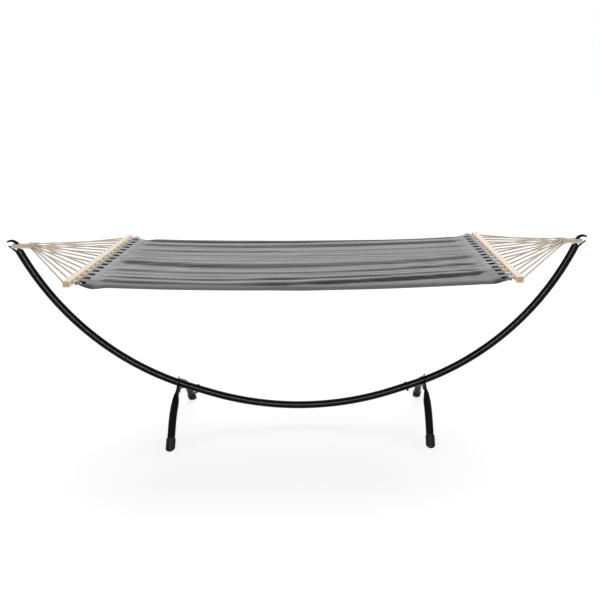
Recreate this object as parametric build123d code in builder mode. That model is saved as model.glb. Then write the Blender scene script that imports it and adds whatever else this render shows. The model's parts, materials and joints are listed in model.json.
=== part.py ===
"""Hammock with spreader bars on an arc stand, one STEP file per piece.

Frame: X runs along the stand, Y across it, Z up, millimetres. The origin is the middle of the
footprint, on the ground. Left is -X, right is +X, front is -Y and back is +Y.
"""
from build123d import *
from math import atan2, cos, radians, sin, sqrt, tan
import os

os.makedirs("parts", exist_ok=True)

# Arc stand: a centre tube whose swaged ends slip into two end tubes of the same diameter
arc_low = 99.0
centre_radius = 1665.0
centre_half_angle = 18.4
joint_straight = 110.0
end_radius = 1456.0
end_angle = 66.33
centre_tube_diameter = 42.0
centre_tube_wall = 1.9
swage_diameter = 38.0
swage_wall = 1.5
swage_shoulder = 4.0
seam_gap = 0.3
end_tube_diameter = 42.0
end_tube_wall = 1.9
seam_from_arc = 44.0
joint_bolt_from_seam = 33.0

# Legs: four bent tubes with flattened upper ends, in pairs on a bracket plate
leg_x = 700.0
leg_top = (30.0, 228.0)
leg_knee = (224.0, 150.0)
leg_foot = (356.0, 0.0)
leg_bend_radius = 290.0
leg_diameter = 42.0
leg_wall = 1.8
flat_thickness = 9.0
flat_height = 60.0
flat_length = 42.0
shoulder_section = (54.0, 28.0)
shoulder_length = 42.0
taper_length = 96.0
foot_clearance = 25.0
bracket_thickness = 5.0
bracket_spike = 18.0
ear_overlap = 2.0
cap_gap = 0.05
bracket_gap = 0.25
bracket_shoulder = (9.0, 5.0)
bracket_flank = (24.0, -4.0)
bracket_chin = 14.0
ear_length = 45.0
ear_height = 50.0
leg_bolt_spots = (13.0, 33.0)

# Foot caps
cap_diameter = 50.0
cap_length = 58.0
cap_chamfer = 5.0

# Fasteners, M8
bolt_diameter = 8.0
bolt_hole = 8.6
bolt_head_diameter = 14.0
bolt_head_height = 5.0
nut_flats = 13.0
nut_height = 6.5
washer_diameter = 16.0
washer_thickness = 1.6
thread_beyond_nut = 3.0
thread_gap = 0.05
head_rounding = 0.7

# Hooks: plates on the tube ends, each with a neck, an upper jaw and a lower lip
end_plate_thickness = 3.0
hook_thickness = 8.0
jaw_back = (1498.0, 1050.0)
jaw_top = (1542.0, 1077.0)
jaw_tip_upper = (1563.0, 1069.0)
jaw_tip_lower = (1561.0, 1060.0)
jaw_underside = (1540.0, 1065.0)
neck_top = (1514.0, 1048.0)
neck_bottom = (1514.0, 1016.0)
neck_back = (1493.0, 1032.0)
lip_tip_upper = (1556.0, 1046.0)
lip_tip_lower = (1559.5, 1042.0)
hook_base_reach = (11.0, 20.0)
hook_tip_radius = 1.5

# Ropes
eye_height = 1043.0
eye_rope = 22.0
eye_half_width = 17.0
eye_bend_x = 1513.0
eye_neck_x = 1488.0
eye_lead_x = 1470.0
eye_strand_radius = 20.0
eye_end_half_width = 11.3
whipping_outer_x = 1462.0
whipping_cover = 1.0
gather_x = 1438.0
gather_radius = 22.5
gather_knot_radius = 20.8
gather_neck_radius = 18.0
cord_diameter = 4.9
cord_pairs = 16
cord_spacing = 5.2
cord_levels = (0, 2, 4, 1, 3, 5)
cord_pitch = 5.7

# Spreader bars, fabric and the cords at its ends
bar_x = 1063.0
bar_z = 975.0
bar_length = 1200.0
bar_width = 34.0
bar_height = 28.0
bar_edge = 3.5
bar_end_chamfer = 1.5
bar_hole = 12.0
hole_pitch = 75.0
cord_bend_radius = 10.0
cord_bend_from_bar = 6.0
hem_x = 1021.0
hem_cord_diameter = 6.0
hem_cord_length = 1150.0
hem_loop_radius = 6.0
fabric_length = 2022.0
fabric_width = 1180.0
fabric_thickness = 6.0
fabric_sag = 30.0
tape_inner_x = 951.0
tape_outer_x = 1008.0
tape_thickness = 1.6
tape_gap = 0.05
running_gap = 0.3

LEFT_RIGHT = Plane.YZ
FRONT_BACK = Plane.XZ


def save(piece, name):
    piece.part.label = name
    export_step(piece.part, f"parts/{name}.step")


def across(point, direction, distance):
    return (point[0] + direction[0] * distance, point[1] + direction[1] * distance)


def side_plane(point, direction):
    """Plane whose normal lies in the XZ plane, at a point of the XZ plane."""
    return Plane(origin=(point[0], 0, point[1]), x_dir=(0, 1, 0), z_dir=(direction[0], 0, direction[1]))


# ---------------------------------------------------------------- arc tubes
centre_slope = radians(centre_half_angle)
end_slope = radians(end_angle)
joint_direction = (cos(centre_slope), sin(centre_slope))
joint_up = (-sin(centre_slope), cos(centre_slope))
joint_start = (centre_radius * sin(centre_slope), arc_low + centre_radius * (1 - cos(centre_slope)))
joint_end = across(joint_start, joint_direction, joint_straight)
seam = across(joint_start, joint_direction, seam_from_arc)
joint_bolt = across(seam, joint_direction, joint_bolt_from_seam)
tube_end_direction = (cos(end_slope), sin(end_slope))
tube_end = (
    joint_end[0] + end_radius * (sin(end_slope) - sin(centre_slope)),
    joint_end[1] + end_radius * (cos(centre_slope) - cos(end_slope)),
)
shoulder_start = across(seam, joint_direction, -seam_gap - swage_shoulder)
centre_tube_start = (-shoulder_start[0], shoulder_start[1])
swage_radius = swage_diameter / 2

with BuildPart() as arc_tube_centre:
    with BuildLine(Plane.XZ) as centre_path:
        Line(centre_tube_start, (-joint_start[0], joint_start[1]))
        ThreePointArc((-joint_start[0], joint_start[1]), (0, arc_low), joint_start)
        Line(joint_start, shoulder_start)
    with BuildSketch(side_plane(centre_tube_start, (joint_direction[0], -joint_direction[1]))):
        Circle(centre_tube_diameter / 2)
        Circle(centre_tube_diameter / 2 - centre_tube_wall, mode=Mode.SUBTRACT)
    sweep(path=centre_path.line)
    for side in (-1, 1):
        outward = (side * joint_direction[0], joint_direction[1])
        shoulder_spot = (side * shoulder_start[0], shoulder_start[1])
        with BuildSketch(side_plane(shoulder_spot, outward)):
            Circle(centre_tube_diameter / 2)
            Circle(swage_radius - swage_wall, mode=Mode.SUBTRACT)
        extrude(amount=swage_shoulder)
        with BuildSketch(side_plane(across(shoulder_spot, outward, swage_shoulder), outward)):
            Circle(swage_radius)
            Circle(swage_radius - swage_wall, mode=Mode.SUBTRACT)
        extrude(amount=joint_straight - seam_from_arc + seam_gap)
        bolt_spot = (side * joint_bolt[0], joint_bolt[1])
        with BuildSketch(side_plane(bolt_spot, (side * joint_up[0], joint_up[1]))):
            Circle(bolt_hole / 2)
        extrude(amount=end_tube_diameter, both=True, mode=Mode.SUBTRACT)
save(arc_tube_centre, "arc_tube_centre")

with BuildPart() as arc_tube_right:
    with BuildLine(Plane.XZ) as end_path:
        Line(seam, joint_end)
        JernArc(
            start=joint_end,
            tangent=joint_direction,
            radius=end_radius,
            arc_size=end_angle - centre_half_angle,
        )
    with BuildSketch(side_plane(seam, joint_direction)):
        Circle(end_tube_diameter / 2)
        Circle(end_tube_diameter / 2 - end_tube_wall, mode=Mode.SUBTRACT)
    sweep(path=end_path.line)
    with BuildSketch(side_plane(joint_bolt, joint_up)):
        Circle(bolt_hole / 2)
    extrude(amount=end_tube_diameter, both=True, mode=Mode.SUBTRACT)
save(arc_tube_right, "arc_tube_right")

with BuildPart() as arc_tube_left:
    mirror(arc_tube_right.part, about=LEFT_RIGHT)
save(arc_tube_left, "arc_tube_left")


# ---------------------------------------------------------------- fasteners
def bolt_solid(plane, grip):
    """Dome-headed bolt: the head sits on the plane and the shank runs down through the grip."""
    with BuildPart() as bolt:
        with BuildSketch(plane):
            Circle(bolt_head_diameter / 2)
        extrude(amount=bolt_head_height)
        head_rim = bolt.edges().group_by(Axis(plane.origin, plane.z_dir))[-1]
        fillet(head_rim, radius=bolt_head_height * head_rounding)
        with BuildSketch(plane):
            Circle(bolt_diameter / 2)
        extrude(amount=-(grip + washer_thickness + nut_height + thread_beyond_nut))
    return bolt.part


def nut_solid(plane):
    """Hexagon nut that hangs below the plane, with its bore round the shank."""
    with BuildPart() as nut:
        with BuildSketch(plane):
            RegularPolygon(radius=nut_flats / 2, side_count=6, major_radius=False)
            Circle(bolt_diameter / 2 + thread_gap, mode=Mode.SUBTRACT)
        extrude(amount=-nut_height)
    return nut.part


def washer_solid(plane):
    with BuildPart() as washer:
        with BuildSketch(plane):
            Circle(washer_diameter / 2)
            Circle(bolt_hole / 2, mode=Mode.SUBTRACT)
        extrude(amount=-washer_thickness)
    return washer.part


joint_top = across(joint_bolt, joint_up, end_tube_diameter / 2)
joint_bottom = across(joint_bolt, joint_up, -end_tube_diameter / 2)
joint_nut_face = across(joint_bottom, joint_up, -washer_thickness)

with BuildPart() as arc_joint_bolts:
    add(bolt_solid(side_plane(joint_top, joint_up), end_tube_diameter))
    mirror(about=LEFT_RIGHT)
save(arc_joint_bolts, "arc_joint_bolts")

with BuildPart() as arc_joint_nuts:
    add(nut_solid(side_plane(joint_nut_face, joint_up)))
    mirror(about=LEFT_RIGHT)
save(arc_joint_nuts, "arc_joint_nuts")

with BuildPart() as arc_joint_washers:
    add(washer_solid(side_plane(joint_bottom, joint_up)))
    mirror(about=LEFT_RIGHT)
save(arc_joint_washers, "arc_joint_washers")

# ---------------------------------------------------------------- legs
leg_run = (leg_knee[0] - leg_top[0], leg_knee[1] - leg_top[1])
leg_run_slope = atan2(leg_run[1], leg_run[0])
leg_direction = (cos(leg_run_slope), sin(leg_run_slope))
leg_normal = (-leg_direction[1], leg_direction[0])
foot_slope = atan2(leg_foot[1] - leg_knee[1], leg_foot[0] - leg_knee[0])
foot_direction = (cos(foot_slope), sin(foot_slope))
leg_end = across(leg_foot, foot_direction, -foot_clearance)


def leg_plane(along):
    """Section plane of the back right leg, a distance along its upper run."""
    spot = across(leg_top, leg_direction, along)
    normal = (0, leg_direction[0], leg_direction[1])
    return Plane(origin=(leg_x, spot[0], spot[1]), x_dir=(1, 0, 0), z_dir=normal)


def leg_solid(inset):
    """The leg's outer form, or its bore when it is inset by the wall."""
    taper_end = across(leg_top, leg_direction, flat_length + taper_length)
    width = flat_thickness - 2 * inset
    height = flat_height - 2 * inset
    with BuildPart() as leg:
        with BuildSketch(leg_plane(0)):
            SlotOverall(height, width, rotation=90)
        extrude(amount=flat_length)
        with BuildSketch(leg_plane(flat_length)):
            SlotOverall(height, width, rotation=90)
        with BuildSketch(leg_plane(flat_length + shoulder_length)):
            SlotOverall(shoulder_section[0] - 2 * inset, shoulder_section[1] - 2 * inset, rotation=90)
        with BuildSketch(leg_plane(flat_length + taper_length)):
            Circle(leg_diameter / 2 - inset)
        loft()
        with BuildLine(Plane.YZ.offset(leg_x)) as leg_path:
            FilletPolyline(taper_end, leg_knee, leg_end, radius=leg_bend_radius)
        with BuildSketch(leg_plane(flat_length + taper_length)):
            Circle(leg_diameter / 2 - inset)
        sweep(path=leg_path.line)
    return leg.part


def leg_bolt_plane(along, out, side=1):
    """Plane across a flattened end at a bolt, facing away from the stand's middle."""
    spot = across(leg_top, leg_direction, along)
    return Plane(origin=(leg_x + out, side * spot[0], spot[1]), x_dir=(0, 1, 0), z_dir=(1, 0, 0))


with BuildPart() as leg_back_right:
    add(leg_solid(0))
    add(leg_solid(leg_wall), mode=Mode.SUBTRACT)
    for along in leg_bolt_spots:
        with BuildSketch(leg_bolt_plane(along, 0)):
            Circle(bolt_hole / 2)
        extrude(amount=flat_thickness, both=True, mode=Mode.SUBTRACT)
save(leg_back_right, "leg_back_right")

with BuildPart() as leg_front_right:
    mirror(leg_back_right.part, about=FRONT_BACK)
save(leg_front_right, "leg_front_right")

with BuildPart() as leg_back_left:
    mirror(leg_back_right.part, about=LEFT_RIGHT)
save(leg_back_left, "leg_back_left")

with BuildPart() as leg_front_left:
    mirror(leg_front_right.part, about=LEFT_RIGHT)
save(leg_front_left, "leg_front_left")

# Bracket plate: a ring round the arc tube with a point on top and an ear into each leg
slope_sine = sin(centre_slope) + (leg_x - joint_end[0]) / end_radius
slope_cosine = sqrt(1 - slope_sine**2)
arc_at_leg = joint_end[1] + end_radius * (cos(centre_slope) - slope_cosine)
ring_half_height = end_tube_diameter / 2 / slope_cosine
ear_start = across(leg_top, leg_direction, -ear_overlap)
ear_end = across(leg_top, leg_direction, ear_length)
bracket_half = [
    (0, arc_at_leg + ring_half_height + bracket_spike),
    (bracket_shoulder[0], arc_at_leg + ring_half_height + bracket_shoulder[1]),
    (bracket_flank[0], arc_at_leg + ring_half_height + bracket_flank[1]),
    across(ear_start, leg_normal, ear_height / 2),
    across(ear_end, leg_normal, ear_height / 2),
    across(ear_end, leg_normal, -ear_height / 2),
    across(ear_start, leg_normal, -ear_height / 2),
    (0, arc_at_leg - ring_half_height - bracket_chin),
]
bracket_outline = bracket_half + [(-y, z) for y, z in reversed(bracket_half[1:-1])]

with BuildPart() as leg_bracket_right:
    with BuildSketch(Plane.YZ.offset(leg_x)):
        Polygon(*bracket_outline, align=None)
    extrude(amount=bracket_thickness / 2, both=True)
    with BuildSketch(side_plane((leg_x, arc_at_leg), (slope_cosine, slope_sine))):
        Circle(end_tube_diameter / 2 + bracket_gap)
    extrude(amount=end_tube_diameter, both=True, mode=Mode.SUBTRACT)
    for along in leg_bolt_spots:
        with BuildSketch(leg_bolt_plane(along, 0), leg_bolt_plane(along, 0, side=-1)):
            Circle(bolt_hole / 2)
        extrude(amount=bracket_thickness, both=True, mode=Mode.SUBTRACT)
save(leg_bracket_right, "leg_bracket_right")

with BuildPart() as leg_bracket_left:
    mirror(leg_bracket_right.part, about=LEFT_RIGHT)
save(leg_bracket_left, "leg_bracket_left")

# Two bolts hold each flattened end to its ear, heads on the outer side and nuts on the inner
with BuildPart() as leg_bolts:
    for along in leg_bolt_spots:
        add(bolt_solid(leg_bolt_plane(along, flat_thickness / 2), flat_thickness))
    mirror(about=FRONT_BACK)
    mirror(about=LEFT_RIGHT)
save(leg_bolts, "leg_bolts")

with BuildPart() as leg_washers:
    for along in leg_bolt_spots:
        add(washer_solid(leg_bolt_plane(along, -flat_thickness / 2)))
    mirror(about=FRONT_BACK)
    mirror(about=LEFT_RIGHT)
save(leg_washers, "leg_washers")

with BuildPart() as leg_nuts:
    for along in leg_bolt_spots:
        add(nut_solid(leg_bolt_plane(along, -flat_thickness / 2 - washer_thickness)))
    mirror(about=FRONT_BACK)
    mirror(about=LEFT_RIGHT)
save(leg_nuts, "leg_nuts")

# ---------------------------------------------------------------- foot caps
cap_top = across(leg_foot, foot_direction, -cap_length)
cap_normal = (0, foot_direction[0], foot_direction[1])
cap_plane = Plane(origin=(leg_x, cap_top[0], cap_top[1]), x_dir=(1, 0, 0), z_dir=cap_normal)

with BuildPart() as foot_cap_back_right:
    with BuildSketch(cap_plane):
        Circle(cap_diameter / 2)
    extrude(amount=cap_length + cap_diameter)
    split(bisect_by=Plane.XY, keep=Keep.TOP)
    chamfer(foot_cap_back_right.faces().sort_by(Axis.Z)[0].edges(), length=cap_chamfer)
    with BuildSketch(cap_plane):
        Circle(leg_diameter / 2 + cap_gap)
    extrude(amount=cap_length - foot_clearance, mode=Mode.SUBTRACT)
save(foot_cap_back_right, "foot_cap_back_right")

with BuildPart() as foot_cap_front_right:
    mirror(foot_cap_back_right.part, about=FRONT_BACK)
save(foot_cap_front_right, "foot_cap_front_right")

with BuildPart() as foot_cap_back_left:
    mirror(foot_cap_back_right.part, about=LEFT_RIGHT)
save(foot_cap_back_left, "foot_cap_back_left")

with BuildPart() as foot_cap_front_left:
    mirror(foot_cap_front_right.part, about=LEFT_RIGHT)
save(foot_cap_front_left, "foot_cap_front_left")

# ---------------------------------------------------------------- hooks
tube_outward = (tube_end_direction[1], -tube_end_direction[0])
plate_face = across(tube_end, tube_end_direction, end_plate_thickness)
hook_base_inner = across(plate_face, tube_outward, -hook_base_reach[0])
hook_base_outer = across(plate_face, tube_outward, hook_base_reach[1])

with BuildPart() as end_plate_right:
    with BuildSketch(side_plane(tube_end, tube_end_direction)):
        Circle(end_tube_diameter / 2)
    extrude(amount=end_plate_thickness)
save(end_plate_right, "end_plate_right")

with BuildPart() as end_plate_left:
    mirror(end_plate_right.part, about=LEFT_RIGHT)
save(end_plate_left, "end_plate_left")

with BuildPart() as hook_right:
    with BuildSketch(Plane.XZ):
        with BuildLine():
            Polyline(jaw_back, neck_back, hook_base_inner, hook_base_outer, lip_tip_lower, lip_tip_upper)
            Polyline(lip_tip_upper, neck_bottom, neck_top)
            ThreePointArc(neck_top, jaw_underside, jaw_tip_lower)
            Line(jaw_tip_lower, jaw_tip_upper)
            ThreePointArc(jaw_tip_upper, jaw_top, jaw_back)
        make_face()
    extrude(amount=hook_thickness / 2, both=True)
    fillet(hook_right.edges().filter_by(Axis.Y).sort_by(Axis.X)[-4:], radius=hook_tip_radius)
save(hook_right, "hook_right")

with BuildPart() as hook_left:
    mirror(hook_right.part, about=LEFT_RIGHT)
save(hook_left, "hook_left")

# ---------------------------------------------------------------- rope eye and cords
eye_bend_top = (eye_bend_x, eye_half_width)
eye_bend_bottom = (eye_bend_x, -eye_half_width)
eye_strand = [
    (whipping_outer_x, eye_end_half_width),
    (eye_lead_x, eye_end_half_width),
    (eye_neck_x, eye_half_width),
    eye_bend_top,
]

with BuildPart() as rope_eye_right:
    with BuildLine(Plane.XY.offset(eye_height)) as eye_path:
        FilletPolyline(*eye_strand, radius=eye_strand_radius)
        ThreePointArc(eye_bend_top, (eye_bend_x + eye_half_width, 0), eye_bend_bottom)
        FilletPolyline(*[(x, -y) for x, y in reversed(eye_strand)], radius=eye_strand_radius)
    with BuildSketch(Plane(origin=eye_path.line @ 0, z_dir=eye_path.line % 0)):
        Circle(eye_rope / 2)
    sweep(path=eye_path.line)
save(rope_eye_right, "rope_eye_right")

with BuildPart() as rope_eye_left:
    mirror(rope_eye_right.part, about=LEFT_RIGHT)
save(rope_eye_left, "rope_eye_left")


def whipping_plane(x):
    """Section plane of the whipping, facing inboard."""
    return Plane(origin=(x, 0, eye_height), x_dir=(0, 1, 0), z_dir=(-1, 0, 0))


# The whipping binds the eye's two strands and ends in the rounded gather that the cords leave
with BuildPart() as rope_whipping_right:
    with BuildSketch(whipping_plane(whipping_outer_x)):
        SlotOverall(2 * eye_end_half_width + eye_rope + 2 * whipping_cover, eye_rope + 2 * whipping_cover)
    with BuildSketch(whipping_plane(gather_x)):
        Circle(gather_neck_radius)
    loft()
    with Locations((gather_x, 0, eye_height)):
        Sphere(gather_knot_radius)
save(rope_whipping_right, "rope_whipping_right")

with BuildPart() as rope_whipping_left:
    mirror(rope_whipping_right.part, about=LEFT_RIGHT)
save(rope_whipping_left, "rope_whipping_left")

hole_spots = [hole_pitch * (index - (cord_pairs - 1) / 2) for index in range(cord_pairs)]
cord_bend_x = bar_x + bar_width / 2 + cord_bend_from_bar
cord_inner_end = hem_x + hem_loop_radius + cord_diameter / 2 + running_gap


def cord_points(index, hole_y, side):
    """One cord of a pair, side by side with the other: from the gather, through its hole, to the hem."""
    level = cord_pitch * (cord_levels[index % len(cord_levels)] - (len(cord_levels) - 1) / 2)
    reach = sqrt(gather_radius**2 - level**2)
    turn = atan2(hole_y, gather_x - cord_bend_x)
    shift = side * cord_spacing / 2
    start_x = gather_x - reach * cos(turn) + shift * sin(turn)
    start_y = reach * sin(turn) + shift * cos(turn)
    return (
        (start_x, start_y, eye_height + level),
        (cord_bend_x + shift * tan(turn / 2), hole_y + shift, bar_z),
        (cord_inner_end, hole_y + shift, bar_z),
    )


with BuildPart() as suspension_cords_right:
    for index, hole_y in enumerate(hole_spots):
        for side in (-1, 1):
            with BuildLine() as cord_path:
                FilletPolyline(*cord_points(index, hole_y, side), radius=cord_bend_radius)
            with BuildSketch(Plane(origin=cord_path.line @ 0, z_dir=cord_path.line % 0)):
                Circle(cord_diameter / 2)
            sweep(path=cord_path.line)
save(suspension_cords_right, "suspension_cords_right")

with BuildPart() as suspension_cords_left:
    mirror(suspension_cords_right.part, about=LEFT_RIGHT)
save(suspension_cords_left, "suspension_cords_left")

# ---------------------------------------------------------------- spreader bars
with BuildPart() as spreader_bar_right:
    with BuildSketch(Plane.XZ):
        with Locations((bar_x, bar_z)):
            RectangleRounded(bar_width, bar_height, bar_edge)
    extrude(amount=bar_length / 2, both=True)
    chamfer(spreader_bar_right.faces().filter_by(Axis.Y).edges(), length=bar_end_chamfer)
    with BuildSketch(Plane.YZ.offset(bar_x)):
        with Locations(*[(hole_y, bar_z) for hole_y in hole_spots]):
            Circle(bar_hole / 2)
    extrude(amount=bar_width, both=True, mode=Mode.SUBTRACT)
save(spreader_bar_right, "spreader_bar_right")

with BuildPart() as spreader_bar_left:
    mirror(spreader_bar_right.part, about=LEFT_RIGHT)
save(spreader_bar_left, "spreader_bar_left")

# ---------------------------------------------------------------- hem cords, their loops and the fabric
with BuildPart() as hem_loops_right:
    with Locations(*[(hem_x, hole_y, bar_z) for hole_y in hole_spots]):
        Torus(hem_loop_radius, cord_diameter / 2, rotation=(90, 0, 0))
save(hem_loops_right, "hem_loops_right")

with BuildPart() as hem_loops_left:
    mirror(hem_loops_right.part, about=LEFT_RIGHT)
save(hem_loops_left, "hem_loops_left")

with BuildPart() as hem_cord_right:
    with BuildSketch(Plane.XZ):
        with Locations((hem_x, bar_z)):
            Circle(hem_cord_diameter / 2)
    extrude(amount=hem_cord_length / 2, both=True)
save(hem_cord_right, "hem_cord_right")

with BuildPart() as hem_cord_left:
    mirror(hem_cord_right.part, about=LEFT_RIGHT)
save(hem_cord_left, "hem_cord_left")


def sagging_sheet(top, thickness):
    """A sheet as long and wide as the fabric, with its ends' upper face at a height."""
    half_length = fabric_length / 2
    bottom = top - thickness
    with BuildPart() as sheet:
        with BuildSketch(Plane.XZ):
            with BuildLine():
                ThreePointArc((-half_length, top), (0, top - fabric_sag), (half_length, top))
                Line((half_length, top), (half_length, bottom))
                ThreePointArc((half_length, bottom), (0, bottom - fabric_sag), (-half_length, bottom))
                Line((-half_length, bottom), (-half_length, top))
            make_face()
        extrude(amount=fabric_width / 2, both=True)
    return sheet.part


fabric_top = bar_z + fabric_thickness / 2
tape_top = fabric_top - fabric_thickness - tape_gap

with BuildPart() as fabric_bed:
    add(sagging_sheet(fabric_top, fabric_thickness))
save(fabric_bed, "fabric_bed")

# A tape is sewn under each end, across the slots that the cord loops sit in
with BuildPart() as hem_tape_right:
    add(sagging_sheet(tape_top, tape_thickness))
    split(bisect_by=Plane.YZ.offset(tape_inner_x), keep=Keep.TOP)
    split(bisect_by=Plane.YZ.offset(tape_outer_x), keep=Keep.BOTTOM)
save(hem_tape_right, "hem_tape_right")

with BuildPart() as hem_tape_left:
    mirror(hem_tape_right.part, about=LEFT_RIGHT)
save(hem_tape_left, "hem_tape_left")
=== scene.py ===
"""Looks of the spreader-bar hammock on its arc stand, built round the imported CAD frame, in metres.

+X runs along the stand, +Y is the back and +Z is up. The stand and the spreader bars stay as CAD. The
cloth, its tapes, the cords, the rope eyes and their whippings are built here, and all of them ride on
the swinging bed.
"""
import json
import math

import bpy
import numpy as np
from mathutils import Matrix, Vector


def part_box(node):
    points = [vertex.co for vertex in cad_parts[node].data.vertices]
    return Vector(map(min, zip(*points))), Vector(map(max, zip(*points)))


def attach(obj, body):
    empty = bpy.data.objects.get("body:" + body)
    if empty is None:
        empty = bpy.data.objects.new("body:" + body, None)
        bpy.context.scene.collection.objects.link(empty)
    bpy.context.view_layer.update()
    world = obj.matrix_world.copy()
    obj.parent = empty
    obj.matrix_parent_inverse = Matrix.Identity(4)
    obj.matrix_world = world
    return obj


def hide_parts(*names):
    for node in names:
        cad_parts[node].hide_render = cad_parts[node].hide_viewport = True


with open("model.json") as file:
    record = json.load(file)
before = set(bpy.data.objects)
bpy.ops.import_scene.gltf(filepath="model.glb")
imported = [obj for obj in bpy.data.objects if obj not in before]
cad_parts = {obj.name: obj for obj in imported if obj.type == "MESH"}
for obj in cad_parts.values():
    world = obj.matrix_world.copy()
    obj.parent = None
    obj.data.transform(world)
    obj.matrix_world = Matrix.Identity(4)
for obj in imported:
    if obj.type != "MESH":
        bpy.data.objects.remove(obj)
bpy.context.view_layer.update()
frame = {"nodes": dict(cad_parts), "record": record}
scene = bpy.context.scene
scene.view_settings.view_transform = "Standard"

SIDES = {"left": -1, "right": 1}

# Places read from the frame
eye_low, eye_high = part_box("rope_eye_right")
bar_low, bar_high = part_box("spreader_bar_right")
hem_low, hem_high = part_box("hem_cord_right")
tape_low, tape_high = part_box("hem_tape_right")
fabric_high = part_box("fabric_bed")[1]
cords_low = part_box("suspension_cords_right")[0]
eye_height = (eye_low.z + eye_high.z) / 2
bar_height = (bar_low.z + bar_high.z) / 2
hem_x = (hem_low.x + hem_high.x) / 2
fabric_half_length = fabric_high.x
fabric_half_width = fabric_high.y

# Cords and ropes, as the design has them
CORD_PAIRS = 16
CORD_DIAMETER = 0.0049
CORD_SPACING = 0.0052
CORD_LEVELS = (0, 2, 4, 1, 3, 5)
CORD_PITCH = 0.0057
HOLE_PITCH = 0.075
GATHER_X = 1.438
GATHER_RADIUS = 0.0225
GATHER_KNOT_RADIUS = 0.0208
GATHER_NECK_RADIUS = 0.018
CORD_BEND_FROM_BAR = 0.006
STRAIGHT_BY_BEND = 6 * CORD_DIAMETER
EYE_RADIUS = 0.011
EYE_HALF_WIDTH = 0.017
EYE_END_HALF_WIDTH = 0.0113
EYE_BEND_X = 1.513
EYE_NECK_X = 1.488
EYE_LEAD_X = 1.470
WHIPPING_OUTER_X = 1.462
HEM_CORD_RADIUS = 0.003
HEM_LOOP_RADIUS = 0.006
hole_spots = [HOLE_PITCH * (index - (CORD_PAIRS - 1) / 2) for index in range(CORD_PAIRS)]


def smooth(value):
    """0 below 0, 1 above 1, and a smooth step between."""
    value = np.clip(value, 0.0, 1.0)
    return value * value * (3 - 2 * value)


# ------------------------------------------------------------------ materials
WEAVE_PITCH = 0.0011
YARN_PITCH = 0.0012
THREAD_PITCH = 0.0004


class Shader:
    """A material with its principled shader and short ways to add nodes."""

    def __init__(self, name, color, roughness, **sockets):
        self.material = bpy.data.materials.new(name)
        self.material.use_nodes = True
        self.nodes = self.material.node_tree.nodes
        self.links = self.material.node_tree.links
        self.shader = self.nodes["Principled BSDF"]
        self.shader.inputs["Base Color"].default_value = (*color, 1)
        self.shader.inputs["Roughness"].default_value = roughness
        for socket, value in sockets.items():
            self.shader.inputs[socket.replace("_", " ")].default_value = value

    def node(self, kind, **inputs):
        made = self.nodes.new(kind)
        for name, value in inputs.items():
            self.feed(made.inputs[name.replace("_", " ")], value)
        return made

    def feed(self, socket, value):
        if isinstance(value, bpy.types.NodeSocket):
            self.links.new(value, socket)
        else:
            socket.default_value = value

    def place(self, scale=(1, 1, 1)):
        """Coordinates in the object's own metres, stretched by a scale."""
        where = self.node("ShaderNodeTexCoord").outputs["Object"]
        return self.node("ShaderNodeMapping", Vector=where, Scale=scale).outputs["Vector"]

    def noise(self, scale, detail, stretch=(1, 1, 1)):
        made = self.node("ShaderNodeTexNoise", Vector=self.place(stretch), Scale=scale, Detail=detail)
        return made.outputs["Fac"]

    def wave(self, period, axis):
        """Bands of 0 to 1 with a period in metres."""
        made = self.node("ShaderNodeTexWave", Vector=self.place(), Scale=math.pi / 10 / period)
        made.bands_direction = axis
        return made.outputs["Fac"]

    def attribute(self, name):
        made = self.node("ShaderNodeAttribute")
        made.attribute_name = name
        return made.outputs["Fac"]

    def math(self, operation, first, second=0.0, third=0.0):
        made = self.nodes.new("ShaderNodeMath")
        made.operation = operation
        for socket, value in zip(made.inputs, (first, second, third)):
            self.feed(socket, value)
        return made.outputs[0]

    def span(self, value, low, high, out_low=0.0, out_high=1.0):
        """Maps low..high of a value to out_low..out_high, clamped."""
        made = self.node("ShaderNodeMapRange", Value=value)
        limits = (("From Min", low), ("From Max", high), ("To Min", out_low), ("To Max", out_high))
        for name, number in limits:
            made.inputs[name].default_value = number
        return made.outputs[0]

    def mix(self, factor, first, second):
        made = self.nodes.new("ShaderNodeMix")
        made.data_type = "RGBA"
        self.feed(made.inputs["Factor"], factor)
        for socket, value in ((made.inputs[6], first), (made.inputs[7], second)):
            self.feed(socket, (*value, 1) if isinstance(value, tuple) else value)
        return made.outputs[2]

    def color(self, value):
        self.feed(self.shader.inputs["Base Color"], value)

    def roughness(self, value):
        self.feed(self.shader.inputs["Roughness"], value)

    def bump(self, height, distance, strength=1.0):
        made = self.node("ShaderNodeBump", Height=height, Distance=distance, Strength=strength)
        before = self.shader.inputs["Normal"]
        if before.is_linked:
            self.links.new(before.links[0].from_socket, made.inputs["Normal"])
        self.links.new(made.outputs["Normal"], before)


def powder_coat():
    coat = Shader("black_powder_coat", (0.002, 0.002, 0.0022), 0.2, Specular_IOR_Level=0.055)
    dust = coat.noise(9.0, 3.0)
    coat.color(coat.mix(coat.span(dust, 0.35, 0.75), (0.0012, 0.0012, 0.0014), (0.0026, 0.0026, 0.0029)))
    coat.roughness(coat.span(coat.noise(35.0, 4.0), 0.3, 0.7, 0.17, 0.22))
    coat.bump(coat.noise(300.0, 2.0), 0.000006, 0.3)
    return coat.material


def fastener_black():
    steel = Shader("black_fastener", (0.006, 0.006, 0.0065), 0.38, Specular_IOR_Level=0.14)
    wear = steel.span(steel.noise(260.0, 3.0), 0.55, 0.75)
    steel.color(steel.mix(wear, (0.004, 0.004, 0.0045), (0.014, 0.014, 0.0145)))
    steel.roughness(steel.span(steel.noise(140.0, 3.0), 0.3, 0.7, 0.3, 0.5))
    steel.bump(steel.noise(900.0, 2.0), 0.00004, 0.5)
    return steel.material


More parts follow.
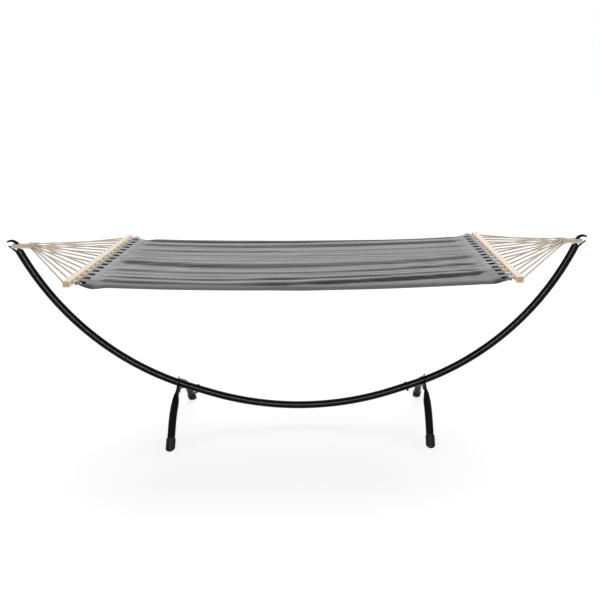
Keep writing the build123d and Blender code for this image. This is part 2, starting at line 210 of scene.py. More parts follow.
def foot_plastic():
    plastic = Shader("foot_plastic", (0.004, 0.004, 0.0045), 0.55, Specular_IOR_Level=0.1)
    scuff = plastic.span(plastic.noise(60.0, 5.0, (1, 1, 2.5)), 0.55, 0.8)
    plastic.color(plastic.mix(scuff, (0.003, 0.003, 0.0033), (0.009, 0.009, 0.0092)))
    plastic.roughness(plastic.span(plastic.noise(90.0, 3.0), 0.3, 0.7, 0.45, 0.62))
    plastic.bump(plastic.noise(1400.0, 1.0), 0.00008, 0.6)
    return plastic.material


def cotton_rope(name, light, dark, period):
    """Twisted yarn: painted shade in the grooves between strands and turns, paler on the crowns, with fine
    fibres.
    """
    rope = Shader(name, light, 0.85, Sheen_Weight=0.25, Sheen_Roughness=0.5, Specular_IOR_Level=0.2)
    # painted shade: the crown value is 0 in the grooves, which get the darker colour
    crown = rope.span(rope.attribute("crown"), 0.0, 0.8)
    blotch = rope.span(rope.noise(40.0, 3.0), 0.3, 0.7, 0.82, 1.0)
    groove_shade_and_blotch = rope.math("MULTIPLY", crown, blotch)
    rope.color(rope.mix(groove_shade_and_blotch, dark, light))
    rope.bump(rope.noise(1 / period, 3.0), 0.0003, 0.6)
    return rope.material


def canvas(name, light, dark):
    """Plain weave with slubbed lengthwise yarns, and painted shade in the creases, along the curled edges and
    at the slot edges.
    """
    cloth = Shader(name, light, 0.9, Sheen_Weight=0.3, Sheen_Roughness=0.55, Specular_IOR_Level=0.15)
    slub = cloth.noise(1.0, 3.0, (2.2, 330.0, 330.0))
    broad = cloth.noise(1.0, 2.0, (0.7, 34.0, 34.0))
    weft = cloth.noise(1.0, 2.0, (420.0, 3.0, 3.0))
    tone = cloth.math("ADD", cloth.math("MULTIPLY", slub, 0.4), cloth.math("MULTIPLY", broad, 0.45))
    tone = cloth.math("ADD", tone, cloth.math("MULTIPLY", weft, 0.15))
    tone = cloth.span(tone, 0.40, 0.60, 0.62, 1.0)
    warp_thread = cloth.wave(WEAVE_PITCH, "Y")
    weft_thread = cloth.wave(WEAVE_PITCH, "X")
    weave = cloth.math("MAXIMUM", warp_thread, weft_thread)
    tone = cloth.math("MULTIPLY", tone, cloth.span(weave, 0.0, 1.0, 0.86, 1.0))
    # painted shade: the attribute made with the cloth darkens the colour in its creases, curled edges,
    # bunched corners and slot edges
    crease = cloth.attribute("crease")
    tone = cloth.math("MULTIPLY", tone, cloth.math("SUBTRACT", 1.0, crease))
    cloth.color(cloth.mix(tone, dark, light))
    cloth.bump(weave, 0.00025, 0.7)
    cloth.bump(slub, 0.0006, 0.5)
    return cloth.material


def pine():
    """Planed pine with its grain along the bar, darker end grain and painted shade round the hole rims."""
    varnish = {"Specular_IOR_Level": 0.35, "Coat_Weight": 0.15, "Coat_Roughness": 0.35}
    wood = Shader("pine", (0.80, 0.62, 0.42), 0.5, **varnish)
    drift = wood.noise(1.0, 2.0, (14.0, 1.1, 14.0))
    rings = wood.node("ShaderNodeTexWave", Vector=wood.place((1.0, 0.05, 1.6)), Scale=26.0, Distortion=5.0)
    rings.bands_direction = "X"
    rings.inputs["Detail"].default_value = 3.0
    fibre = wood.noise(1.0, 4.0, (900.0, 18.0, 900.0))
    grain = wood.math("MULTIPLY", rings.outputs["Fac"], wood.span(drift, 0.3, 0.7, 0.3, 1.0))
    pale = wood.mix(grain, (0.86, 0.76, 0.62), (0.77, 0.63, 0.47))
    pale = wood.mix(wood.span(fibre, 0.55, 0.8, 0.0, 0.45), pale, (0.68, 0.50, 0.33))
    sep = wood.node("ShaderNodeSeparateXYZ", Vector=wood.place())
    end = wood.math("GREATER_THAN", wood.math("ABSOLUTE", sep.outputs["Y"]), bar_high.y - 0.0012)
    end_tone = wood.mix(wood.span(wood.noise(300.0, 4.0), 0.35, 0.65), (0.50, 0.31, 0.17), (0.72, 0.52, 0.34))
    color = wood.mix(end, pale, end_tone)
    # painted shade: orange-brown round each cord hole
    along = wood.math("SUBTRACT", wood.math("WRAP", sep.outputs["Y"], 0.0, HOLE_PITCH), HOLE_PITCH / 2)
    above = wood.math("SUBTRACT", sep.outputs["Z"], bar_height)
    far = wood.math("SQRT", wood.math("ADD", wood.math("POWER", along, 2.0), wood.math("POWER", above, 2.0)))
    inside = wood.math("LESS_THAN", wood.math("ABSOLUTE", sep.outputs["Y"]), hole_spots[-1] + 0.012)
    hole_rim_shade = wood.math("MULTIPLY", wood.span(far, 0.0066, 0.0092, 1.0, 0.0), inside)
    color = wood.mix(wood.math("MULTIPLY", hole_rim_shade, 0.85), color, (0.42, 0.20, 0.07))
    wood.color(color)
    wood.roughness(wood.span(fibre, 0.3, 0.8, 0.42, 0.6))
    wood.bump(fibre, 0.0002, 0.5)
    wood.bump(rings.outputs["Fac"], 0.0002, 0.4)
    return wood.material


MATERIALS = {
    "black_powder_coat": powder_coat(),
    "black_fastener": fastener_black(),
    "foot_plastic": foot_plastic(),
    "cotton_rope": cotton_rope("cotton_rope", (0.71, 0.63, 0.53), (0.53, 0.45, 0.36), YARN_PITCH),
    # near-black cotton for the hem tape and hem cords; on the tape it is a painted shade for the slots'
    # insides
    "charcoal_cotton": cotton_rope(
        "charcoal_cotton", (0.040, 0.040, 0.044), (0.012, 0.012, 0.013), YARN_PITCH
    ),
    "pine": pine(),
    "grey_canvas": canvas("grey_canvas", (0.40, 0.40, 0.404), (0.055, 0.055, 0.057)),
}
SEWING_THREAD = cotton_rope("sewing_thread", (0.42, 0.42, 0.424), (0.36, 0.36, 0.364), THREAD_PITCH)


def finish_node(node, slot):
    """Gives a CAD node its finish."""
    piece = frame["nodes"][node]
    piece.data.materials.clear()
    piece.data.materials.append(MATERIALS[slot])


for subpart in frame["record"]["subparts"]:
    finish_node(subpart["node"], subpart["material_slot"])


# ------------------------------------------------------------------ meshes
POINTS_PER_STRAND = 4
GROOVE_SHARE = 0.9
SPLINE_RESOLUTION = 24


def add_piece(name, points, faces, slot, material=None, **attributes):
    """A smooth mesh piece that rides on the bed, with a value per point for each attribute."""
    mesh = bpy.data.meshes.new(name)
    mesh.from_pydata([tuple(p) for p in points], [], [tuple(f) for f in faces])
    for label, values in attributes.items():
        layer = mesh.attributes.new(label, "FLOAT", "POINT")
        layer.data.foreach_set("value", np.asarray(values, np.float32))
    mesh.polygons.foreach_set("use_smooth", [True] * len(mesh.polygons))
    mesh.materials.append(material or MATERIALS[slot])
    mesh.update()
    piece = bpy.data.objects.new(name, mesh)
    scene.collection.objects.link(piece)
    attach(piece, "bed")
    return piece


class Heap:
    """Points, faces and crown values of several parts that make one piece."""

    def __init__(self):
        self.points, self.faces, self.crown = [], [], []

    def add(self, points, faces, crown):
        base = len(self.points)
        self.points.extend(points)
        self.faces.extend([tuple(base + i for i in face) for face in faces])
        self.crown.extend(crown)

    def piece(self, name, slot, material=None):
        return add_piece(name, self.points, self.faces, slot, material, crown=self.crown)


def ring_faces(rings, sides):
    """Quads between rings of points, with a face over each end."""
    faces = []
    for ring in range(rings - 1):
        here, after = ring * sides, (ring + 1) * sides
        for side in range(sides):
            along = (side + 1) % sides
            faces.append((here + side, here + along, after + along, after + side))
    faces.append(tuple(reversed(range(sides))))
    faces.append(tuple(range((rings - 1) * sides, rings * sides)))
    return faces


def even_points(line, step):
    """Points a step apart along a line."""
    line = np.asarray(line, float)
    run = np.concatenate([[0], np.cumsum(np.linalg.norm(np.diff(line, axis=0), axis=1))])
    count = max(2, round(run[-1] / step) + 1)
    spots = np.linspace(0, run[-1], count)
    return np.stack([np.interp(spots, run, line[:, axis]) for axis in range(3)], axis=1)


def sweep(line, radius, lay, profile):
    """A rope along a line. Profile gives, per point round it, its angle and share of the radius, and the
    ring turns once per lay, so that the strands run as helices. Returns points, faces and crown values."""
    line = np.asarray(line, float)
    tangents = np.gradient(line, axis=0)
    tangents /= np.linalg.norm(tangents, axis=1)[:, None]
    start = Vector((0, 0, 1)) if abs(tangents[0][2]) < 0.9 else Vector((0, 1, 0))
    normal = (start - start.dot(Vector(tangents[0])) * Vector(tangents[0])).normalized()
    angles = np.array([angle for angle, share in profile])
    shares = np.array([share for angle, share in profile])
    low = shares.min()
    crown = (shares - low) / max(1 - low, 1e-6)
    points, run = [], 0.0
    for index, centre in enumerate(line):
        if index:
            run += float(np.linalg.norm(centre - line[index - 1]))
            turn = Vector(tangents[index - 1]).rotation_difference(Vector(tangents[index]))
            normal = turn @ normal
        side = Vector(tangents[index]).cross(normal)
        spin = angles + 2 * math.pi * run / lay
        ring = (
            centre
            + np.outer(np.cos(spin) * shares * radius, np.array(normal))
            + np.outer(np.sin(spin) * shares * radius, np.array(side))
        )
        points.extend(ring)
    return points, ring_faces(len(line), len(profile)), np.tile(crown, len(line))


def strand_profile(strands):
    """Round strands laid side by side: angle and share of the radius for each point."""
    found = []
    for step in range(strands * POINTS_PER_STRAND):
        phase = (step % POINTS_PER_STRAND) / POINTS_PER_STRAND
        angle = 2 * math.pi * step / (strands * POINTS_PER_STRAND)
        found.append((angle, GROOVE_SHARE + (1 - GROOVE_SHARE) * math.sin(math.pi * phase) ** 0.6))
    return found


def spline_line(control):
    """Points read from a smooth NURBS spline over the control points."""
    curve = bpy.data.curves.new("route", "CURVE")
    curve.dimensions = "3D"
    curve.resolution_u = SPLINE_RESOLUTION
    spline = curve.splines.new("NURBS")
    spline.points.add(len(control) - 1)
    for point, place in zip(spline.points, control):
        point.co = (*place, 1)
    spline.order_u = 3
    spline.use_endpoint_u = True
    holder = bpy.data.objects.new("route", curve)
    scene.collection.objects.link(holder)
    bpy.context.view_layer.update()
    seen = holder.evaluated_get(bpy.context.evaluated_depsgraph_get())
    mesh = bpy.data.meshes.new_from_object(seen)
    line = [tuple(vertex.co) for vertex in mesh.vertices]
    bpy.data.objects.remove(holder)
    bpy.data.curves.remove(curve)
    bpy.data.meshes.remove(mesh)
    return line


# ------------------------------------------------------------------ camera
def add_camera():
    """A camera in front of the stand, a little above the bed and looking down."""
    place = Vector((0.1759, -4.0801, 1.8337))
    yaw, pitch, roll = -0.0143, 0.3148, 0.0068
    forward = Vector((-math.sin(yaw) * math.cos(pitch), math.cos(yaw) * math.cos(pitch), -math.sin(pitch)))
    level = Vector((math.cos(yaw), math.sin(yaw), 0))
    down = forward.cross(level)
    right = math.cos(roll) * level + math.sin(roll) * down
    up = -(math.cos(roll) * down - math.sin(roll) * level)
    camera = bpy.data.objects.new("camera", bpy.data.cameras.new("camera"))
    scene.collection.objects.link(camera)
    turned = Matrix((right, up, -forward)).transposed().to_4x4()
    camera.matrix_world = Matrix.Translation(place) @ turned
    camera.data.sensor_width = 36.0
    camera.data.lens = 45.78
    camera.data.shift_x = -0.0710
    camera.data.shift_y = 0.0625
    camera.data.clip_end = 200.0
    scene.camera = camera


# ------------------------------------------------------------------ cloth
SLOT_BASE_X = 0.984
SLOT_HALF = 0.016
STITCH_X = 0.953
TAB_WRAP_RADIUS = HEM_CORD_RADIUS + 0.0012
CLOTH_THICKNESS = 0.0014
HEM_DROP = 0.0022
CELL_WIDTH = 0.0036
TAPE_THICKNESS = 0.0012
TAPE_CLEARANCE = 0.0004
TAPE_SHORT_OF_EDGE = 0.004
CURL_START = 0.560
CURL_RADIUS = 0.022
WAIST = 0.022
SAG = 0.030
CORNER_DROOP = 0.006

# Lengthwise folds of the cloth, front to back: place across the bed at mid-length, lean and bow along
# it, width of the steep side, height, and how dark the painted shade in its crease is
FOLDS = (
    (-0.524, 0.065, 0.100, 0.024, 0.0170, 1.00),
    (-0.456, 0.055, 0.100, 0.022, 0.0085, 0.85),
    (-0.394, 0.045, 0.110, 0.020, 0.0045, 0.45),
    (-0.328, 0.040, 0.120, 0.038, 0.0095, 0.80),
    (-0.255, 0.035, 0.140, 0.020, 0.0030, 0.35),
    (-0.172, 0.040, 0.160, 0.058, 0.0180, 0.95),
    (-0.040, 0.030, 0.090, 0.022, 0.0045, 0.45),
    (0.045, 0.000, 0.060, 0.024, 0.0040, 0.40),
    (0.120, 0.000, 0.030, 0.030, 0.0065, 0.55),
    (0.200, 0.010, 0.010, 0.022, 0.0035, 0.35),
    (0.268, 0.015, 0.000, 0.028, 0.0080, 0.60),
    (0.358, 0.000, -0.010, 0.022, 0.0035, 0.35),
    (0.440, 0.010, -0.010, 0.050, 0.0150, 0.85),
    (0.545, 0.010, 0.000, 0.024, 0.0120, 0.85),
)


def fold_line(number, place, lean, bow, x, y):
    """How far y is from a fold's line, which leans, bows and wanders along the bed."""
    wander = 0.009 * np.sin(2.1 * x + 0.6 + 0.4 * number) + 0.004 * np.sin(5.3 * x + 1.3 * number)
    return y - place - lean * x - bow * x**2 - wander


def ripples(x, y):
    """Height of the lengthwise folds, which fade towards the hems."""
    fade = smooth((0.978 - np.abs(x)) / 0.09)
    total = sum(fold[4] for fold in FOLDS)
    rise = -total * (y + fabric_half_width) / (2 * fabric_half_width)
    for number, (place, lean, bow, width, height, _) in enumerate(FOLDS):
        swell = 1 + 0.22 * np.sin(3.0 * x + 1.7 * number)
        rise = rise + height * swell * smooth(fold_line(number, place, lean, bow, x, y) / width + 0.5)
    roam = 0.010 * np.sin(2.3 * x) + 0.006 * np.sin(6.1 * x + 0.7)
    fine = 0.0011 * np.sin(2 * math.pi * (y + roam) / 0.041) * (1 + 0.5 * np.sin(4.0 * x + 9 * y))
    fine = fine + 0.0006 * np.sin(2 * math.pi * (y - roam) / 0.019 + 1.0)
    return fade * (rise + fine)


def crease_depth(x, y):
    """Painted shade on the cloth, from 0 to 1: in the creases, where little light gets in, along the rolled
    edges, at the bunched corners and in front of the first fold."""
    fade = smooth((0.974 - np.abs(x)) / 0.07)
    dark = np.zeros_like(y)
    for number, (place, lean, bow, width, _, depth) in enumerate(FOLDS):
        away = fold_line(number, place, lean, bow, x, y) / width
        strength = depth * (1 + 0.2 * np.sin(2.4 * x + 2.1 * number))
        dark = np.maximum(dark, strength * np.exp(-((away + 0.15) / 0.62) ** 2))
    # painted shade on the rolled edge bands, the bunched corners and the band in front of the first fold
    rolled_edge_shade = 0.58 * smooth((np.abs(y) - CURL_START + 0.004) / 0.012)
    bunched_corner_shade = 0.92 * smooth((np.abs(y) - 0.535) / 0.03) * smooth((np.abs(x) - 0.915) / 0.04)
    front_band_shade = 0.42 * smooth(0.5 - fold_line(0, *FOLDS[0][:3], x, y) / 0.02)
    band_and_corner_shade = np.maximum(rolled_edge_shade, np.maximum(bunched_corner_shade, front_band_shade))
    return np.clip(np.maximum(fade * dark, band_and_corner_shade), 0, 0.95)


def hem_rise(x):
    """How far the cloth climbs from its hem stitches to the top of the hem cord."""
    return (HEM_DROP + TAB_WRAP_RADIUS) * smooth((np.abs(x) - STITCH_X + 0.006) / 0.05)


def cloth_surface(x, y):
    """Where the cloth's point at a flat place x, y lies."""
    across = y * (1 - WAIST * (1 - (x / fabric_half_length) ** 2))
    height = bar_height - SAG * (1 - (x / fabric_half_length) ** 2)
    height = height - HEM_DROP * smooth((np.abs(x) - 0.89) / 0.05) + hem_rise(x)
    height = height - 0.0009 * np.exp(-(((np.abs(x) - STITCH_X) / 0.004) ** 2))
    pucker = np.exp(-np.abs(np.abs(x) - SLOT_BASE_X) / 0.05)
    height = height + 0.0016 * pucker * np.cos(2 * math.pi * y / HOLE_PITCH)
    height = height + ripples(x, y)
    corner = smooth((np.abs(y) - 0.50) / 0.08) * smooth((-x - 0.86) / 0.10)
    height = height - CORNER_DROOP * corner * smooth((hem_x - 0.004 - np.abs(x)) / 0.03)
    curl = smooth((hem_x - 0.010 - np.abs(x)) / 0.035)
    beyond = np.maximum(np.abs(y) - CURL_START, 0)
    angle = beyond / CURL_RADIUS * curl
    angle = np.where(angle > 0, angle, 0)
    inward = beyond - np.where(angle > 1e-6, CURL_RADIUS / np.maximum(curl, 1e-3) * np.sin(angle), beyond)
    drop = np.where(angle > 1e-6, CURL_RADIUS / np.maximum(curl, 1e-3) * (1 - np.cos(angle)), 0)
    return across - np.sign(y) * inward, height - drop


def across_stations():
    """Places across the cloth, with a line on each edge of every slot."""
    edges = [-fabric_half_width]
    for spot in hole_spots:
        edges += [spot - SLOT_HALF, spot + SLOT_HALF]
    edges.append(fabric_half_width)
    stations, in_slot = [], []
    for number, (low, high) in enumerate(zip(edges, edges[1:])):
        cells = max(2, round((high - low) / CELL_WIDTH))
        stations += list(np.linspace(low, high, cells, endpoint=False))
        in_slot += [number % 2 == 1] * cells
    return np.array(stations + [fabric_half_width]), in_slot


def build_cloth():
    """One sheet with lengthwise folds, curled long edges, and tabs that wrap round the hem cords."""
    ys, in_slot = across_stations()
    inner = np.concatenate([np.linspace(0, 0.88, 110, endpoint=False), np.linspace(0.88, SLOT_BASE_X, 32)])
    tab_flat = np.linspace(SLOT_BASE_X, hem_x, 10)[1:]
    wrap = np.radians(np.linspace(90, -90, 9))[1:]
    flap = ((0.006, -0.0036), (0.012, -0.0028), (0.019, -0.0024))
    half = [(x, None) for x in inner] + [(x, None) for x in tab_flat]
    half += [(hem_x + TAB_WRAP_RADIUS * math.cos(a), TAB_WRAP_RADIUS * math.sin(a)) for a in wrap]
    half += [(hem_x - back, height) for back, height in flap]
    columns = [(-x, h) for x, h in reversed(half[1:])] + half
    rows = []
    crease = []
    for x, height in columns:
        flat_x = np.full_like(ys, x)
        if height is None:
            y, z = cloth_surface(flat_x, ys)
        else:
            y, z = ys, np.full_like(ys, bar_height + height)
        rows.append(np.stack([flat_x, y, z], axis=1))
        # painted shade along the slot edges in the tab region, joined to the cloth's other painted shade
        to_edge = np.min(np.abs(np.abs(ys[:, None] - np.array(hole_spots)[None, :]) - SLOT_HALF), axis=1)
        slot_edge_shade = np.exp(-((to_edge / 0.0035) ** 2)) * (abs(x) > SLOT_BASE_X - 0.002)
        crease.append(np.maximum(crease_depth(flat_x, ys), 0.9 * slot_edge_shade))
    count = len(ys)
    slot_columns = set()
    for i, (near, far) in enumerate(zip(columns, columns[1:])):
        beyond_base = min(abs(near[0]), abs(far[0])) >= SLOT_BASE_X - 1e-6
        if beyond_base or near[1] is not None or far[1] is not None:
            slot_columns.add(i)
    faces = []
    for i in range(len(columns) - 1):
        for j in range(count - 1):
            if i in slot_columns and in_slot[j]:
                continue
            faces.append((i * count + j, (i + 1) * count + j, (i + 1) * count + j + 1, i * count + j + 1))
    points = np.concatenate(rows)
    used = sorted({corner for face in faces for corner in face})
    renumber = {old: new for new, old in enumerate(used)}
    faces = [tuple(renumber[corner] for corner in face) for face in faces]
    crease = np.concatenate(crease)[used]
    cloth = add_piece("fabric_bed_cloth", points[used], faces, "grey_canvas", crease=crease)
    thick = cloth.modifiers.new("thickness", "SOLIDIFY")
    thick.thickness = CLOTH_THICKNESS
    thick.offset = 0.0
    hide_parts("fabric_bed")
    return cloth


def build_hem_tape(side):
    """Near-black tape sewn under the slots, a dark sheet that stands for the shade inside them, which curls
    down at its ends with the cloth.
    """
    sign = SIDES[side]
    xs = np.linspace(tape_low.x, tape_high.x, 9)
    half_width = fabric_half_width - TAPE_SHORT_OF_EDGE
    ys = np.linspace(-half_width, half_width, 321)
    rows = []
    for x in xs:
        flat_x = np.full_like(ys, x * sign)
        y, z = cloth_surface(flat_x, ys)
        next_y, next_z = cloth_surface(flat_x, ys + 1e-4)
        run = np.hypot(next_y - y, next_z - z)
        under = CLOTH_THICKNESS / 2 + TAPE_CLEARANCE + hem_rise(x)
        tape_y = y + under * (next_z - z) / run
        tape_z = z - under * (next_y - y) / run
        rows.append(np.stack([flat_x, tape_y, tape_z], axis=1))
    count = len(ys)
    faces = []
    for i in range(len(xs) - 1):
        for j in range(count - 1):
            corners = (i * count + j, (i + 1) * count + j, (i + 1) * count + j + 1, i * count + j + 1)
            faces.append(corners if sign > 0 else corners[::-1])
    points = np.concatenate(rows)
    crown = np.full(len(points), 0.7)
    tape = add_piece(f"hem_tape_{side}_shade_sheet", points, faces, "charcoal_cotton", crown=crown)
    thick = tape.modifiers.new("thickness", "SOLIDIFY")
    thick.thickness = TAPE_THICKNESS
    thick.offset = -1.0
    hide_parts(f"hem_tape_{side}")


STITCH_LENGTH = 0.0034
STITCH_STEP = 0.0052
STITCH_RADIUS = 0.0005
STITCH_ROW_GAP = 0.007
STITCH_SHORT_OF_EDGE = 0.008
SIDE_STITCH_END_X = 0.943


def stitch_row(heap, starts, ends):
    """Short thread beads from start points to end points, each a little above the cloth."""
    for start, end in zip(starts, ends):
        line = [start + (end - start) * share for share in (0.0, 0.2, 0.5, 0.8, 1.0)]
        lifts = (-0.0003, 0.0003, 0.0005, 0.0003, -0.0003)
        line = [point + np.array((0, 0, lift)) for point, lift in zip(line, lifts)]
        profile = [(math.radians(60 * k), 1.0) for k in range(6)]
        points, faces, crown = sweep(line, STITCH_RADIUS, 1.0, profile)
        heap.add(points, faces, crown)


def build_stitching():
    """Two rows across each hem and one along each side hem."""
    heap = Heap()
    lift = CLOTH_THICKNESS / 2 + 0.0003
    for sign in SIDES.values():
        for back in (0.0, STITCH_ROW_GAP):
            x = sign * (STITCH_X - back)
            row_end = fabric_half_width - STITCH_SHORT_OF_EDGE
            ys = np.arange(-row_end, row_end, STITCH_STEP)
            ends = []
            for shift in (0, STITCH_LENGTH):
                y, z = cloth_surface(np.full_like(ys, x), ys + shift)
                ends.append(np.stack([np.full_like(ys, x), y, z + lift], axis=1))
            stitch_row(heap, *ends)
        xs = np.arange(-SIDE_STITCH_END_X, SIDE_STITCH_END_X, STITCH_STEP)
        edge = np.full_like(xs, sign * (CURL_START - 0.001))
        ends = []
        for shift in (0, STITCH_LENGTH):
            y, z = cloth_surface(xs + shift, edge)
            ends.append(np.stack([xs + shift, y, z + lift], axis=1))
        stitch_row(heap, *ends)
    return heap.piece("fabric_stitching", "grey_canvas", SEWING_THREAD)


# ------------------------------------------------------------------ cords
ROPE_STEP = 0.0016
CORD_LAY = 0.021
HEM_CORD_LAY = 0.024
EYE_STEP = 0.0005
EYE_TWINE_PITCH = 0.0022
WHIPPING_TWINE_PITCH = 0.0024
THREE_STRANDS = strand_profile(3)


def cord_route(index, hole_y, sign, strand):
    """Control points of one cord of a pair: from the gather, round the bar's edge, to the hem.

    The two leave the gather side by side and turn until one lies above and beside the other."""
    level = CORD_PITCH * (CORD_LEVELS[index % len(CORD_LEVELS)] - (len(CORD_LEVELS) - 1) / 2)
    reach = math.sqrt(GATHER_RADIUS**2 - level**2)
    bend_x = bar_high.x + CORD_BEND_FROM_BAR
    turn = math.atan2(hole_y, GATHER_X - bend_x)
    shift = strand * CORD_SPACING / 2
    start = Vector((
        GATHER_X - reach * math.cos(turn) + shift * math.sin(turn),
        reach * math.sin(turn) + shift * math.cos(turn),
        eye_height + level,
    ))
    slant = shift * math.sqrt(0.5)
    corner = Vector((bend_x + slant * math.tan(turn / 2), hole_y + slant, bar_height + slant))
    # Two points in line on the straight run, which leave its shape as it is
    eighth = start.lerp(corner, 0.12)
    third = start.lerp(corner, 0.35)
    before = corner + (third - corner).normalized() * STRAIGHT_BY_BEND
    after = corner - Vector((STRAIGHT_BY_BEND, 0, 0))
    end = Vector((cords_low.x, hole_y + slant, bar_height + slant))
    route = (start, eighth, third, before, corner, after, end)
    return [Vector((sign * point.x, point.y, point.z)) for point in route]


def build_suspension_cords(side):
    """Sixteen pairs of twisted cords, each cord its own piece."""
    for index, hole_y in enumerate(hole_spots):
        for strand, letter in ((-1, "a"), (1, "b")):
            line = spline_line(cord_route(index, hole_y, SIDES[side], strand))
            rope = even_points(line, ROPE_STEP)
            points, faces, crown = sweep(rope, CORD_DIAMETER / 2, CORD_LAY, THREE_STRANDS)
            name = f"suspension_cord_{side}_{index + 1:02d}{letter}"
            cord = add_piece(name, points, faces, "cotton_rope", crown=crown)
            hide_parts(f"suspension_cords_{side}")


def build_hem_cord(side):
    """The cord that the tabs wrap round, along the hem."""
    x = SIDES[side] * hem_x
    line = even_points([(x, hem_low.y, bar_height), (x, hem_high.y, bar_height)], ROPE_STEP)
    points, faces, crown = sweep(line, HEM_CORD_RADIUS, HEM_CORD_LAY, THREE_STRANDS)
    cord = add_piece(f"hem_cord_{side}_twist", points, faces, "charcoal_cotton", crown=crown)
    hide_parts(f"hem_cord_{side}")


def served_profile(sides):
    return [(2 * math.pi * step / sides, 1.0) for step in range(sides)]


def build_hem_loops(side):
    """At each hole the two cords are one, which goes over and under the hem cord between two tabs."""
    sign = SIDES[side]
    heap = Heap()
    slant = CORD_SPACING / 2 * math.sqrt(0.5)
    ends = cords_low.x - hem_x
    over = 1.03 * HEM_LOOP_RADIUS
    turn = (
        (ends, slant, slant),
        (ends - 0.003, slant, slant),
        (0.0050, slant, over),
        (-0.0055, 0.5 * slant, 1.05 * over),
        (-1.35 * over, 0.0, 0.0),
        (-0.0055, -0.5 * slant, -1.05 * over),
        (0.0050, -slant, -over),
        (ends - 0.003, -slant, -slant),
        (ends, -slant, -slant),
    )
    for hole_y in hole_spots:
        route = [(sign * (hem_x + x), hole_y + y, bar_height + z) for x, y, z in turn]
        line = even_points(spline_line(route), ROPE_STEP)
        heap.add(*sweep(line, CORD_DIAMETER / 2, CORD_LAY, THREE_STRANDS))
    loops = heap.piece(f"hem_loops_{side}_twist", "cotton_rope")
    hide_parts(f"hem_loops_{side}")


def build_rope_eye(side):
    """The thick eye over the hook, served with close turns of twine."""
    sign = SIDES[side]
    outer = EYE_BEND_X + EYE_HALF_WIDTH
    half = [
        (WHIPPING_OUTER_X - 0.004, EYE_END_HALF_WIDTH),
        (EYE_LEAD_X + 0.002, EYE_END_HALF_WIDTH),
        (EYE_NECK_X, EYE_HALF_WIDTH),
        (EYE_BEND_X, EYE_HALF_WIDTH),
        (outer, EYE_HALF_WIDTH),
    ]
    route = half + [(x, -y) for x, y in reversed(half)]
    line = even_points(spline_line([(sign * x, y, eye_height) for x, y in route]), EYE_STEP)
    sides = 20
    points, faces, _ = sweep(line, EYE_RADIUS, 1.0, served_profile(sides))
    points = np.array(points)
    centres = np.repeat(line, sides, axis=0)
    run = np.repeat(np.arange(len(line)) * EYE_STEP, sides)
    around = np.tile(np.arange(sides) / sides, len(line))
    crown = np.abs(np.sin(math.pi * (run / EYE_TWINE_PITCH - around)))
    points = centres + (points - centres) * (1 - 0.11 * (1 - crown))[:, None]
    eye = add_piece(f"rope_eye_{side}_served", points, faces, "cotton_rope", crown=crown)
    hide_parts(f"rope_eye_{side}")


def build_whipping(side):
    """Close turns of twine over the eye's two strands, then the rounded gather that the cords leave."""
    sign = SIDES[side]
    sides = 64
    around = np.arange(sides) / sides
    angles = 2 * math.pi * around
    rings, crowns = [], []

    def ring(x, half_gap, radius, crown, depth):
        reach = radius - depth * (1 - crown)
        y = half_gap * np.tanh(3 * np.cos(angles)) + reach * np.cos(angles)
        z = eye_height + reach * np.sin(angles)
        rings.append(np.stack([np.full(sides, sign * x), y, z], axis=1))
        crowns.append(crown)

    for step in range(61):
        share = step / 60
        x = WHIPPING_OUTER_X + (GATHER_X - WHIPPING_OUTER_X) * share
        radius = EYE_RADIUS + 0.001 + (GATHER_NECK_RADIUS - EYE_RADIUS - 0.001) * share
        radius += (GATHER_KNOT_RADIUS - GATHER_NECK_RADIUS) * max(0, 4 * share - 3) ** 2
        crown = np.abs(np.sin(math.pi * ((WHIPPING_OUTER_X - x) / WHIPPING_TWINE_PITCH - around)))
        ring(x, EYE_END_HALF_WIDTH * (1 - share), radius, crown, 0.0009)
    lobes = np.abs(np.sin(CORD_PAIRS / 2 * angles + 0.4)) ** 0.7
    for step in range(1, 15):
        bend = math.radians(90 * step / 15)
        x = GATHER_X - GATHER_KNOT_RADIUS * math.sin(bend)
        ring(x, 0.0, GATHER_KNOT_RADIUS * math.cos(bend) + 1e-5, lobes, 0.0012 * math.cos(bend))
    points = np.concatenate(rings)
    faces = ring_faces(len(rings), sides)
    if sign > 0:
        faces = [face[::-1] for face in faces]
    crown = np.concatenate(crowns)
    whipping = add_piece(f"rope_whipping_{side}_twine", points, faces, "cotton_rope", crown=crown)
    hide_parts(f"rope_whipping_{side}")


# ------------------------------------------------------------------ stage
SURROUND_LIGHT = 0.5
SURROUND_SEEN = 1.0
SUN_STRENGTH = 2.1
FLOOR_GLOW = 0.79


def add_area_light(name, place, target, size, power):
    lamp = bpy.data.lights.new(name, "AREA")
    lamp.shape = "RECTANGLE"
    lamp.size, lamp.size_y = size
    lamp.energy = power
    light = bpy.data.objects.new(name, lamp)
    scene.collection.objects.link(light)
    light.location = place
    light.rotation_euler = (Vector(target) - Vector(place)).to_track_quat("-Z", "Y").to_euler()
    return light


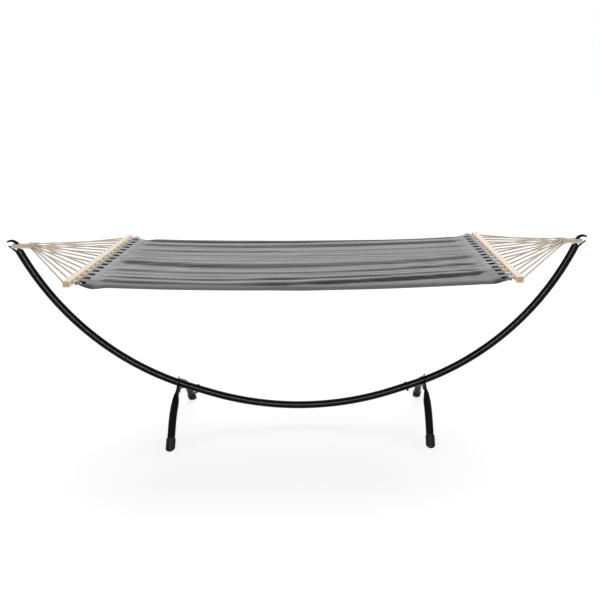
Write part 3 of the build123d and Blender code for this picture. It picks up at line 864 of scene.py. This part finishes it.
def add_stage():
    """A plain pale floor, a white surround and soft studio light."""
    mesh = bpy.data.meshes.new("floor")
    reach = 60.0
    corners = [(-reach, -reach, 0), (reach, -reach, 0), (reach, reach, 0), (-reach, reach, 0)]
    mesh.from_pydata(corners, [], [(0, 1, 2, 3)])
    floor = bpy.data.objects.new("floor", mesh)
    scene.collection.objects.link(floor)
    paint = Shader("floor_paint", (0.30, 0.30, 0.30), 0.9, Specular_IOR_Level=0.0)
    paint.shader.inputs["Emission Color"].default_value = (1, 1, 1, 1)
    paint.shader.inputs["Emission Strength"].default_value = FLOOR_GLOW
    mesh.materials.append(paint.material)
    world = bpy.data.worlds.new("studio")
    world.use_nodes = True
    scene.world = world
    nodes, links = world.node_tree.nodes, world.node_tree.links
    background = nodes["Background"]
    background.inputs["Color"].default_value = (1, 1, 1, 1)
    seen = nodes.new("ShaderNodeLightPath").outputs["Is Camera Ray"]
    strength = nodes.new("ShaderNodeMapRange")
    strength.inputs["To Min"].default_value = SURROUND_LIGHT
    strength.inputs["To Max"].default_value = SURROUND_SEEN
    links.new(seen, strength.inputs["Value"])
    links.new(strength.outputs[0], background.inputs["Strength"])
    sun = bpy.data.lights.new("overhead", "SUN")
    sun.energy = SUN_STRENGTH
    sun.angle = math.radians(50)
    overhead = bpy.data.objects.new("overhead", sun)
    scene.collection.objects.link(overhead)
    overhead.rotation_euler = Vector((-0.25, -1.3, -1.9)).to_track_quat("-Z", "Y").to_euler()
    strip = add_area_light("strip", place=(0.1, -4.7, 2.25), target=(0, 0, 0.6), size=(4.0, 0.36), power=620)
    lit = bpy.data.collections.new("lit_by_strip")
    for node in frame["record"]["behaviour"]["bodies"]["stand"]:
        lit.objects.link(frame["nodes"][node])
    strip.light_linking.receiver_collection = lit


add_camera()
cloth = build_cloth()
stitching = build_stitching()
for side in SIDES:
    build_hem_tape(side)
    build_hem_cord(side)
    build_hem_loops(side)
    build_suspension_cords(side)
    build_rope_eye(side)
    build_whipping(side)
add_stage()

bpy.context.view_layer.update()
